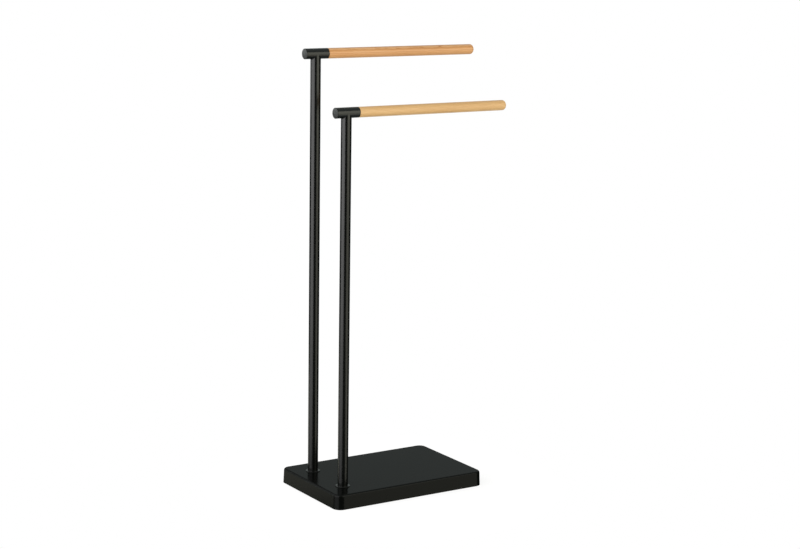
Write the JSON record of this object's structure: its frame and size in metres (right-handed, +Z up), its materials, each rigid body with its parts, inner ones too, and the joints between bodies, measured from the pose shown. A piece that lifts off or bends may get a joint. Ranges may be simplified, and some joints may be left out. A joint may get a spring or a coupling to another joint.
{
  "type": "freestanding towel stand",
  "caption": "Towel stand: a weighted base with drafted sides carries black steel posts of unequal height, each with a beech rail held at one end.",
  "frame": {"origin": "on the floor, under the middle of the overall outline of base and rails", "axes": "+X along the rails towards their free ends, +Y from the front (lower rail) to the back, +Z up"},
  "size_m": [0.398, 0.22, 0.85],
  "materials": {
    "powder_coat": "satin",
    "cover_plastic": "matte",
    "trim_plastic": "satin",
    "beech": "satin",
    "zinc_steel": "satin",
    "rubber": "matte",
    "cement": "matte"
  },
  "bodies": {
    "root": {"base_cover": "cover_plastic", "ballast_block": "cement", "mounting_plate": "zinc_steel", "bottom_plate": "trim_plastic", "bottom_screws": "zinc_steel", "foot_front_left": "rubber", "foot_front_right": "rubber", "foot_rear_left": "rubber", "foot_rear_right": "rubber", "rear_post": "powder_coat", "rear_post_insert": "zinc_steel", "rear_post_bolt": "zinc_steel", "rear_post_washer": "zinc_steel", "rear_post_collar": "trim_plastic", "rear_head_sleeve": "powder_coat", "rear_sleeve_partition": "zinc_steel", "rear_rail": "beech", "rear_rail_screw": "zinc_steel", "rear_end_cap": "trim_plastic", "front_post": "powder_coat", "front_post_insert": "zinc_steel", "front_post_bolt": "zinc_steel", "front_post_washer": "zinc_steel", "front_post_collar": "trim_plastic", "front_head_sleeve": "powder_coat", "front_sleeve_partition": "zinc_steel", "front_rail": "beech", "front_rail_screw": "zinc_steel", "front_end_cap": "trim_plastic"}
  },
  "joints": []
}
